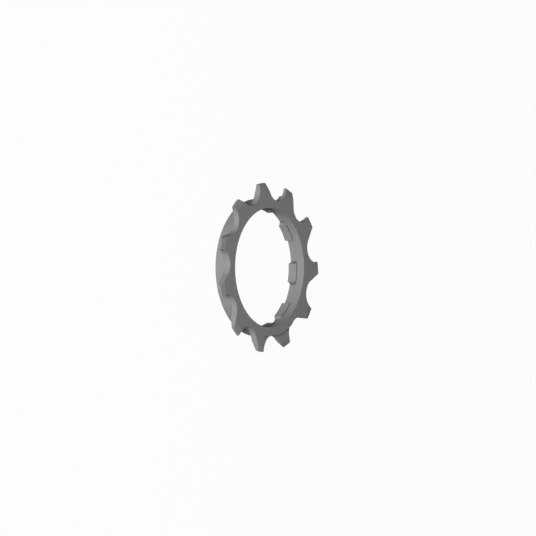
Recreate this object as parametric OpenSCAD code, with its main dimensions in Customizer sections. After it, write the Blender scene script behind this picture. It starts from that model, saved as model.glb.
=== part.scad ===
// Smallest cog of a bicycle cassette. It lies on the back of its collar, with the front face up.
// All sizes are in millimetres, and z = 0 is the back end of the collar.

/* [Toothed ring] */
// Number of teeth
teeth = 11; // [11:1:13]
// Distance between two rollers of the chain
chain_pitch = 12.7; // [12.5:0.1:12.9]
// Radius of the pocket that a roller sits in
pocket_r = 4.1; // [3.95:0.05:4.2]
// Angle by which the pockets are turned clockwise, seen from the front
pocket_turn = 2.2; // [0:0.1:3]
// Angle between the middle line of a pocket and the slanted flank beside it
flank_lean = 46.5; // [42:0.5:50]
// Radius at the tips of the teeth
tip_r = 23.05; // [22.7:0.05:23.5]
// Thickness of the toothed ring
ring_t = 1.75; // [1.6:0.05:2.2]

/* [Tooth bevels] */
// Slope of the bevels on the front of the tooth tips
bevel_slope = 12; // [8:1:16]
// Length of the bevel on most of the teeth
long_bevel = 1.6; // [1.2:0.1:2]
// Length of the bevel on the other teeth
short_bevel = 0.9; // [0.3:0.1:1.2]
// Angle by which a short bevel is turned towards one corner of its tooth
bevel_turn = 25; // [5:5:40]
// Length of the bevel on the back of the teeth
back_bevel = 2.3; // [1:0.1:3]
// Slope of the bevel on the back
back_slope = 17; // [8:1:18]
// Distance by which the back of the thin tooth is set in, above a step
thin_depth = 0.75; // [0.4:0.05:0.9]
// Radius of that step
thin_r = 20.7; // [20.2:0.1:21.5]

/* [Shift ramp] */
// Distance by which the face of the low tooth is set back
low_depth = 0.6; // [0.3:0.1:0.8]
// Slope of the tooth beside it, down towards it
ramp_slope = 5; // [3:1:7]
// Distance from the bottom of the pockets to the edge of the ramp
ramp_edge = 0.3; // [0.1:0.05:0.5]
// Radius of the wider pocket between these two teeth
ramp_pocket_r = 4.7; // [4.3:0.05:4.7]
// Angle by which that pocket is turned further than the others
ramp_pocket_turn = 1; // [0:0.1:1.5]

/* [Collar] */
// Whole depth, from the front face to the back of the collar
depth = 5; // [4.6:0.1:6]
// Width of the rim round the back of the collar
rim_t = 1.9; // [1.2:0.1:2]
// Distance from the bottom of the pockets down to the collar
collar_step = 0.1; // [0.05:0.05:0.3]
// Distance by which the rim stands out from the collar
rim_step = 0.3; // [0.1:0.05:0.5]
// Chamfer on the back edge of the rim
rim_chamfer = 0.3; // [0.1:0.1:0.5]

/* [Bore] */
// Radius of the round opening in the front
bore_r = 16.2; // [16:0.05:16.6]
// Depth of that opening
land_t = 2.4; // [2:0.1:3]
// Radius of the grooves behind it
groove_r = 17.2; // [17:0.05:17.5]
// Radius at the top of the lugs between the grooves
lug_r = 16.05; // [15.6:0.05:16.3]
// Number of lugs
lugs = 9; // [5:1:9]
// Angle from each lug to the next one
lug_step = 41; // [40:0.5:42]
// Width of a lug at its top
lug_w = 5; // [3:0.1:6]
// Slope of the sides of a lug
lug_draft = 30; // [0:1:35]
// Angle from tooth 0 to the lug beside it
lug_turn = -5; // [-8:0.2:8]

/* [Hidden] */
$fn = 180;
// How far solids that are joined reach into each other
lap = 0.05;
// How far the straight flanks of a pocket cut inside its circle, to meet it at a clear corner
flank_lap = 0.02;
// How far cuts reach past the faces that they open
past = 1;
tooth_step = 360 / teeth;
pitch_r = chain_pitch / 2 / sin(tooth_step / 2);
// Radius at the bottom of the pockets
root_r = pitch_r - pocket_r;
collar_r = root_r - collar_step;
rim_r = collar_r + rim_step;
ring_back = depth - ring_t;
groove_t = depth - land_t;
// Half of the room that a cut on one tooth needs to either side
tooth_room = tip_r * sin(tooth_step / 2);
// The teeth are numbered anticlockwise, and tooth 0 points along +X
LOW = teeth - 2;
RAMP = LOW - 1;
THIN = 2;
// The teeth with a short bevel, and the way in which it is turned
ANTICLOCKWISE = [0, 1];
CLOCKWISE = [THIN + 1, RAMP];

// One pocket and the clear space above it, on +X
module pocket(r, turn) {
    // Clear height above the middle of the pocket, which brings both sides out past the tips
    above = tip_r - root_r;
    half_w = r - flank_lap;
    side = half_w * [-sin(flank_lean), cos(flank_lean)];
    slant = above / cos(flank_lean) * [cos(flank_lean), sin(flank_lean)];
    rotate(-turn) translate([root_r + r, 0]) {
        circle(r);
        polygon([side, side + slant, [above, -half_w], [0, -half_w]]);
    }
}

module tooth_outline() {
    difference() {
        circle(tip_r);
        for (i = [0 : teeth - 1]) rotate((i + 0.5) * tooth_step)
            if (i == RAMP) pocket(ramp_pocket_r, pocket_turn + ramp_pocket_turn);
            else pocket(pocket_r, pocket_turn);
    }
}

function holds(list, i) = len([for (n = list) if (n == i) n]) > 0;

// What the bevel on the tip of tooth i takes away from the front
module front_bevel(i) {
    turn = holds(ANTICLOCKWISE, i) ? bevel_turn : holds(CLOCKWISE, i) ? -bevel_turn : 0;
    length = turn == 0 ? long_bevel : short_bevel;
    drop = i == LOW ? low_depth : 0;
    rotate(i * tooth_step) translate([tip_r - length, 0, depth - drop]) rotate([0, 0, turn])
        rotate([0, bevel_slope, 0]) translate([-past, -tooth_room, 0])
            cube([length + 2 * past, 2 * tooth_room, ring_t]);
}

// What the bevel round the back of the teeth takes away, a cone that starts a little behind them
module back_bevels() {
    start = [tip_r - back_bevel - past, ring_back - past * tan(back_slope)];
    end_r = tip_r + past;
    rotate_extrude() polygon([
        start,
        [end_r, start.y],
        [end_r, start.y + (end_r - start.x) * tan(back_slope)],
    ]);
}

// What is taken away behind the thin tooth, beyond its step
module thin_back() {
    rotate((THIN - 0.5) * tooth_step) rotate_extrude(angle = tooth_step)
        translate([thin_r, ring_back - past]) square([tip_r - thin_r + past, thin_depth + past]);
}

// What the shift ramp takes away: the face of the low tooth, and a slope on the tooth beside it
module shift_ramp() {
    reach = tip_r + past;
    difference() {
        union() {
            rotate(LOW * tooth_step) translate([0, -tooth_room, depth - low_depth])
                cube([reach, 2 * tooth_room, ring_t]);
            rotate(RAMP * tooth_step) translate([0, 0, depth]) rotate([-ramp_slope, 0, 0])
                translate([0, -past, 0]) cube([reach, tooth_room + past, ring_t]);
        }
        translate([0, 0, ring_back]) cylinder(r = root_r + ramp_edge, h = 2 * ring_t);
    }
}

// The collar behind the toothed ring, with a rim round its back end and a step in its bore
module collar() {
    rotate_extrude() polygon([
        [lug_r, 0],
        [rim_r - rim_chamfer, 0],
        [rim_r, rim_chamfer],
        [rim_r, rim_t - rim_step],
        [collar_r, rim_t],
        [collar_r, ring_back + lap],
        [bore_r, ring_back + lap],
        [bore_r, groove_t],
        [lug_r, groove_t],
    ]);
}

// What the grooves take away from the bore: a round recess with the lugs left standing
module grooves() {
    base_w = lug_w + 2 * (groove_r - lug_r) * tan(lug_draft);
    linear_extrude(2 * groove_t, center = true) difference() {
        circle(groove_r);
        for (i = [0 : lugs - 1]) rotate(lug_turn + (i - 1) * lug_step) polygon([
            [lug_r - past, -lug_w / 2],
            [lug_r, -lug_w / 2],
            [groove_r, -base_w / 2],
            [groove_r + past, -base_w / 2],
            [groove_r + past, base_w / 2],
            [groove_r, base_w / 2],
            [lug_r, lug_w / 2],
            [lug_r - past, lug_w / 2],
        ]);
    }
}

module cog() {
    color("dimgray") difference() {
        union() {
            translate([0, 0, ring_back]) linear_extrude(ring_t) difference() {
                tooth_outline();
                circle(bore_r);
            }
            collar();
        }
        for (i = [0 : teeth - 1]) front_bevel(i);
        back_bevels();
        thin_back();
        shift_ramp();
        grooves();
    }
}

cog();
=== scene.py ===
"""The looks of a bicycle cassette cog: dull plated steel, lying on a pale studio floor.

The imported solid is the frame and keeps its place. Every length is in metres.
"""

import math

import bpy
from bpy.props import FloatProperty, PointerProperty, StringProperty
from mathutils import Matrix, Vector


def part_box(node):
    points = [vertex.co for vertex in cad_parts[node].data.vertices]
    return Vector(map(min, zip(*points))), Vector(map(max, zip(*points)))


bl_info = {
    "name": "Cassette Cog",
    "version": (1, 0, 0),
    "blender": (4, 5, 0),
    "location": "3D View > Sidebar > Cog",
    "description": "Finishes a bicycle cassette cog and sets it on a studio floor",
    "category": "Object",
}

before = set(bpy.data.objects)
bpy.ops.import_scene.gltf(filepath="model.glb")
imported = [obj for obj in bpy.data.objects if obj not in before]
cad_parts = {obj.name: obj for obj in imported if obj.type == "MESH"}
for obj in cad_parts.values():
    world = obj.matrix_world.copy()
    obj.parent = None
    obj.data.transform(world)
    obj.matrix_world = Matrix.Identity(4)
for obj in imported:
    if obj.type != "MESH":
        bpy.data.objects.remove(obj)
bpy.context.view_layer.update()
COG_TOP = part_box("cog")[1]
IMAGE_PX = 536
SENSOR_MM = 36.0
MM_IN_A_METRE = 1000
WHITE = (1.0, 1.0, 1.0, 1.0)


def linear(hex_colour):
    """The linear RGBA of an sRGB hex colour such as #8A8A8A."""
    srgb = [int(hex_colour[i : i + 2], 16) / 255 for i in (1, 3, 5)]
    return (*(c / 12.92 if c <= 0.04045 else ((c + 0.055) / 1.055) ** 2.4 for c in srgb), 1.0)


def add_node(tree, kind, settings=None, inputs=None):
    """Adds a node of one kind, with its own settings. An input is a value, or a socket to link from."""
    node = tree.nodes.new(kind)
    for name, value in (settings or {}).items():
        setattr(node, name, value)
    for name, value in (inputs or {}).items():
        if isinstance(value, bpy.types.NodeSocket):
            tree.links.new(value, node.inputs[name])
        else:
            node.inputs[name].default_value = value
    return node


def new_material(name):
    """An empty node material, its tree and its output node."""
    material = bpy.data.materials.new(name)
    material.use_nodes = True
    tree = material.node_tree
    tree.nodes.clear()
    return material, tree, add_node(tree, "ShaderNodeOutputMaterial")


class SteelSettings(bpy.types.PropertyGroup):
    """Sizes and colours of the steel."""

    colour: StringProperty(
        name="Steel colour",
        description="Colour of the plated steel, as sRGB hex",
        default="#7C7C7D",
    )
    patch_colour: StringProperty(
        name="Patch colour",
        description="Colour of its slightly darker patches, as sRGB hex",
        default="#747475",
    )
    # Painted shade: the near-black colour of the inside corners, and below it how far that darkening
    # reaches.
    corner_painted_shade_colour: StringProperty(
        name="Corner colour",
        description="Colour in the inside corners, as sRGB hex",
        default="#202020",
    )
    corner: FloatProperty(
        name="Corner reach",
        description="How far the dark of an inside corner reaches",
        default=0.0011,
        unit="LENGTH",
    )
    patch: FloatProperty(
        name="Plating patch",
        description="Width of a patch of thicker plating",
        default=0.006,
        unit="LENGTH",
    )
    roughness: FloatProperty(
        name="Roughness",
        description="Roughness between the patches",
        default=0.74,
        subtype="FACTOR",
    )
    patch_roughness: FloatProperty(
        name="Patch roughness",
        description="Roughness of the smoother patches",
        default=0.68,
        subtype="FACTOR",
    )
    grain: FloatProperty(
        name="Blast grain",
        description="Width of a pit left by blasting",
        default=0.00022,
        unit="LENGTH",
    )
    grain_depth: FloatProperty(
        name="Grain depth",
        description="Depth of such a pit",
        default=0.00002,
        unit="LENGTH",
    )
    edge_radius: FloatProperty(
        name="Edge radius",
        description="Radius to which tumbling has worn the edges",
        default=0.0001,
        unit="LENGTH",
    )


class StageSettings(bpy.types.PropertyGroup):
    """The camera, the lamps and the floor."""

    off_axis: FloatProperty(
        name="View off axis",
        description="Angle between the axis of the bore and the line of sight",
        default=math.radians(54.76),
        subtype="ANGLE",
    )
    distance: FloatProperty(
        name="Camera distance",
        description="From the front face to the camera",
        default=6.0,
        unit="LENGTH",
    )
    image_scale: FloatProperty(
        name="Image scale",
        description="Pixels for one millimetre at the front face",
        default=3.683,
    )
    centre_x: FloatProperty(
        name="Centre across",
        description="Where the bore's centre falls in the image, in pixels",
        default=269.64,
        subtype="PIXEL",
    )
    centre_y: FloatProperty(
        name="Centre down",
        description="Where the bore's centre falls in the image, in pixels",
        default=267.59,
        subtype="PIXEL",
    )
    floor_colour: StringProperty(
        name="Floor colour",
        description="Colour of the floor, as sRGB hex",
        default="#B4B4B2",
    )
    floor_lift: FloatProperty(
        name="Floor lift",
        description="Share of plain white in the floor, where it is looked at",
        default=0.96,
        subtype="FACTOR",
    )
    floor_width: FloatProperty(
        name="Floor width",
        description="Width of the square floor",
        default=4.0,
        unit="LENGTH",
    )
    floor_gap: FloatProperty(
        name="Floor gap",
        description="How far the floor is below the cog, so that they share no face",
        default=0.00005,
        unit="LENGTH",
    )
    lamp_distance: FloatProperty(
        name="Lamp distance",
        description="From the cog to each lamp",
        default=0.7,
        unit="LENGTH",
    )
    key_power: FloatProperty(
        name="Key lamp",
        description="Power of the soft main lamp",
        default=8.3,
        unit="POWER",
    )
    fill_power: FloatProperty(
        name="Fill lamp",
        description="Power of the soft lamp behind",
        default=1.3,
        unit="POWER",
    )
    world_light: FloatProperty(
        name="Room light",
        description="Strength of the light from all sides",
        default=0.03,
    )


def dull_plated_steel(steel):
    """Hardened steel, blasted and dull plated, with painted shade in the inside corners. The blasting
    leaves a matt grey with no clear reflection.
    """
    material, tree, output = new_material("dull_plated_steel")
    place = add_node(tree, "ShaderNodeTexCoord").outputs["Object"]
    # The plating is a little thicker in soft patches, which makes them slightly darker and smoother.
    patches = add_node(
        tree,
        "ShaderNodeTexNoise",
        inputs={"Vector": place, "Scale": 1 / steel.patch, "Detail": 3.0, "Roughness": 0.55},
    )
    surface = add_node(
        tree,
        "ShaderNodeMix",
        {"data_type": "RGBA"},
        {"Factor": patches.outputs["Fac"], "A": linear(steel.colour), "B": linear(steel.patch_colour)},
    )
    # Painted shade: where ambient occlusion finds an inside corner, the colour is darkened towards a
    # near-black colour.
    openness = add_node(
        tree,
        "ShaderNodeAmbientOcclusion",
        {"samples": 8, "only_local": True},
        {"Distance": steel.corner},
    )
    painted_shade_mask = add_node(
        tree,
        "ShaderNodeMapRange",
        inputs={"Value": openness.outputs["AO"], "From Min": 0.82, "From Max": 0.55},
    )
    colour = add_node(
        tree,
        "ShaderNodeMix",
        {"data_type": "RGBA"},
        {
            "Factor": painted_shade_mask.outputs["Result"],
            "A": surface.outputs["Result"],
            "B": linear(steel.corner_painted_shade_colour),
        },
    )
    roughness = add_node(
        tree,
        "ShaderNodeMapRange",
        inputs={
            "Value": patches.outputs["Fac"],
            "To Min": steel.roughness,
            "To Max": steel.patch_roughness,
        },
    )
    # Blasting leaves pits of a tenth of a millimetre. They are drawn twice as coarse, to show at all.
    pits = add_node(
        tree,
        "ShaderNodeTexNoise",
        inputs={"Vector": place, "Scale": 1 / steel.grain, "Detail": 2.0},
    )
    edges = add_node(tree, "ShaderNodeBevel", {"samples": 6}, {"Radius": steel.edge_radius})
    bump = add_node(
        tree,
        "ShaderNodeBump",
        inputs={
            "Strength": 0.25,
            "Distance": steel.grain_depth,
            "Height": pits.outputs["Fac"],
            "Normal": edges.outputs["Normal"],
        },
    )
    # The dull plating has no gloss of its own, and only a little of the metal's shine comes through it.
    shader = add_node(
        tree,
        "ShaderNodeBsdfPrincipled",
        inputs={
            "Base Color": colour.outputs["Result"],
            "Metallic": 0.12,
            "Specular IOR Level": 0.0,
            "Roughness": roughness.outputs["Result"],
            "Normal": bump.outputs["Normal"],
        },
    )
    tree.links.new(shader.outputs["BSDF"], output.inputs["Surface"])
    return material


def seen_directly(tree):
    """1 for rays that see the surroundings, straight or mirrored, and 0 for rays that light things."""
    path = add_node(tree, "ShaderNodeLightPath")
    mirrored = add_node(
        tree,
        "ShaderNodeMath",
        {"operation": "MAXIMUM"},
        {0: path.outputs["Is Glossy Ray"], 1: path.outputs["Is Transmission Ray"]},
    )
    seen = add_node(
        tree,
        "ShaderNodeMath",
        {"operation": "MAXIMUM"},
        {0: path.outputs["Is Camera Ray"], 1: mirrored.outputs[0]},
    )
    return seen.outputs[0]


def matt_floor(stage):
    """Matt pale board, lifted nearly to white where it is looked at. It keeps the cog's soft shadow."""
    material, tree, output = new_material("matt_pale_board")
    board = add_node(tree, "ShaderNodeBsdfDiffuse", inputs={"Color": linear(stage.floor_colour)})
    white = add_node(tree, "ShaderNodeEmission", inputs={"Color": WHITE, "Strength": 1.0})
    lift = add_node(
        tree,
        "ShaderNodeMath",
        {"operation": "MULTIPLY"},
        {0: seen_directly(tree), 1: stage.floor_lift},
    )
    surface = add_node(
        tree,
        "ShaderNodeMixShader",
        inputs={0: lift.outputs[0], 1: board.outputs[0], 2: white.outputs[0]},
    )
    tree.links.new(surface.outputs[0], output.inputs["Surface"])
    return material


class COG_OT_finish(bpy.types.Operator):
    """Gives the cog its finish of dull plated steel"""

    bl_idname = "cog.finish"
    bl_label = "Finish the cog"

    def execute(self, context):
        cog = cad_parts["cog"]
        steel = dull_plated_steel(context.scene.cog_steel)
        for slot in cog.material_slots:
            slot.material = steel
        return {"FINISHED"}


class COG_OT_stage(bpy.types.Operator):
    """Adds the floor, the lamps and the camera"""

    bl_idname = "cog.stage"
    bl_label = "Set the stage"

    def execute(self, context):
        scene = context.scene
        stage = scene.cog_stage
        self.add_floor(scene, stage)
        self.add_world(scene, stage)
        # The key lamp stands below the line of sight. A weak one lights the sides that face away from it.
        self.add_lamp(scene, stage, "key_lamp", azimuth=180, elevation=24, width=0.3, power=stage.key_power)
        self.add_lamp(scene, stage, "fill_lamp", azimuth=0, elevation=14, width=0.4, power=stage.fill_power)
        self.add_camera(scene, stage)
        return {"FINISHED"}

    def add_floor(self, scene, stage):
        """A square board under the cog."""
        half, level = stage.floor_width / 2, -stage.floor_gap
        mesh = bpy.data.meshes.new("floor")
        corners = [(-half, -half, level), (half, -half, level), (half, half, level), (-half, half, level)]
        mesh.from_pydata(corners, [], [(0, 1, 2, 3)])
        mesh.materials.append(matt_floor(stage))
        floor = bpy.data.objects.new("floor", mesh)
        scene.collection.objects.link(floor)

    def add_world(self, scene, stage):
        """White where it is looked at, and otherwise only a weak light from all sides."""
        world = bpy.data.worlds.new("studio")
        world.use_nodes = True
        tree = world.node_tree
        tree.nodes.clear()
        strength = add_node(
            tree,
            "ShaderNodeMapRange",
            inputs={"Value": seen_directly(tree), "To Min": stage.world_light, "To Max": 1.0},
        )
        light = add_node(
            tree,
            "ShaderNodeBackground",
            inputs={"Color": WHITE, "Strength": strength.outputs["Result"]},
        )
        output = add_node(tree, "ShaderNodeOutputWorld")
        tree.links.new(light.outputs[0], output.inputs["Surface"])
        scene.world = world

    def add_lamp(self, scene, stage, name, azimuth, elevation, width, power):
        """A round soft lamp that faces the cog, from an azimuth and an elevation in degrees."""
        lamp = bpy.data.lights.new(name, "AREA")
        lamp.shape = "DISK"
        lamp.size = width
        lamp.energy = power
        around, up = math.radians(azimuth), math.radians(elevation)
        away = Vector((math.cos(around) * math.cos(up), math.sin(around) * math.cos(up), math.sin(up)))
        turn = away.to_track_quat("Z", "Y").to_matrix().to_4x4()
        lamp_object = bpy.data.objects.new(name, lamp)
        lamp_object.matrix_world = Matrix.Translation(away * stage.lamp_distance) @ turn
        scene.collection.objects.link(lamp_object)

    def add_camera(self, scene, stage):
        """The photograph's view: off the axis towards -X, with +Y upwards in the image."""
        target = Vector((0, 0, COG_TOP.z))
        towards = Vector((-math.sin(stage.off_axis), 0, math.cos(stage.off_axis)))
        up = Vector((0, 1, 0))
        turn = Matrix((up.cross(towards), up, towards)).transposed().to_4x4()
        camera = bpy.data.cameras.new("camera")
        camera.sensor_width = SENSOR_MM
        camera.lens = stage.image_scale * stage.distance * MM_IN_A_METRE * SENSOR_MM / IMAGE_PX
        camera.shift_x = (IMAGE_PX / 2 - stage.centre_x) / IMAGE_PX
        camera.shift_y = (stage.centre_y - IMAGE_PX / 2) / IMAGE_PX
        camera_object = bpy.data.objects.new("camera", camera)
        camera_object.matrix_world = Matrix.Translation(target + towards * stage.distance) @ turn
        scene.collection.objects.link(camera_object)
        scene.camera = camera_object
        scene.view_settings.view_transform = "Standard"


class COG_PT_panel(bpy.types.Panel):
    """The steps that make the cog and its stage"""

    bl_idname = "COG_PT_panel"
    bl_label = "Cassette cog"
    bl_space_type = "VIEW_3D"
    bl_region_type = "UI"
    bl_category = "Cog"

    def draw(self, context):
        for settings in (context.scene.cog_steel, context.scene.cog_stage):
            for name in settings.__annotations__:
                self.layout.prop(settings, name)
        for step in STEPS:
            self.layout.operator(step.bl_idname)


STEPS = (COG_OT_finish, COG_OT_stage)
CLASSES = (SteelSettings, StageSettings, *STEPS, COG_PT_panel)


def register():
    """Registers the classes, and keeps their settings with the scene."""
    for cls in CLASSES:
        bpy.utils.register_class(cls)
    bpy.types.Scene.cog_steel = PointerProperty(type=SteelSettings)
    bpy.types.Scene.cog_stage = PointerProperty(type=StageSettings)


def unregister():
    """Takes the settings and the classes away again."""
    del bpy.types.Scene.cog_steel
    del bpy.types.Scene.cog_stage
    for cls in reversed(CLASSES):
        bpy.utils.unregister_class(cls)


def main():
    """Makes everything in order."""
    register()
    bpy.ops.cog.finish()
    bpy.ops.cog.stage()


if __name__ == "__main__":
    main()
